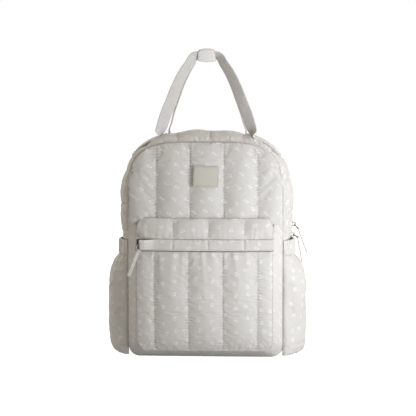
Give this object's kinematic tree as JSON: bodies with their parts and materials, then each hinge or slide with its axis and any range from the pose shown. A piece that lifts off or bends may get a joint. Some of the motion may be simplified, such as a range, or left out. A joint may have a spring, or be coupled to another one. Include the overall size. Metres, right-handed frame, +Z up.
{
  "type": "quilted puffer backpack",
  "caption": "Puffy quilted backpack standing on its base, with an arched zip opening, a flapped front pocket, elastic side pockets, wrapped webbing hand loops and padded shoulder straps.",
  "frame": {"origin": "on the floor, under the middle of the bag's base", "axes": "+Z up, -Y out of the front pocket, +X to the right seen from the front"},
  "size_m": [0.348, 0.2023, 0.528],
  "materials": {
    "cloth": "matt printed cotton, quilted over wadding",
    "webbing": "woven herringbone webbing",
    "label": "matt woven label",
    "zip": "woven tape with a nylon coil",
    "metal": "plated die-cast zinc",
    "leather": "smooth pale leather",
    "plastic": "moulded acetal"
  },
  "bodies": {
    "root": {"front_panel": "cloth", "back_panel": "cloth", "zip_gusset_front": "cloth", "zip_gusset_back": "cloth", "side_gusset_left": "cloth", "side_gusset_right": "cloth", "base_panel": "cloth", "pocket_lower_panel": "cloth", "pocket_upper_band": "cloth", "pocket_zip_flap": "cloth", "pocket_gusset": "cloth", "side_pocket_left": "cloth", "side_pocket_right": "cloth", "pocket_cuff_left": "cloth", "pocket_cuff_right": "cloth", "shoulder_strap_left": "cloth", "shoulder_strap_right": "cloth", "hand_loop_front": "webbing", "hand_loop_back": "webbing", "handle_wrap": "webbing", "strap_webbing_left": "webbing", "strap_webbing_right": "webbing", "label": "label", "main_zip": "zip", "pocket_zip": "zip", "main_slider_upper": "metal", "main_ring_upper": "metal", "main_slider_lower": "metal", "main_ring_lower": "metal", "pocket_slider": "metal", "pocket_ring": "metal", "main_tab_upper": "leather", "main_tab_lower": "leather", "pocket_tab": "leather", "strap_adjuster_left": "plastic", "strap_adjuster_right": "plastic"}
  },
  "joints": []
}
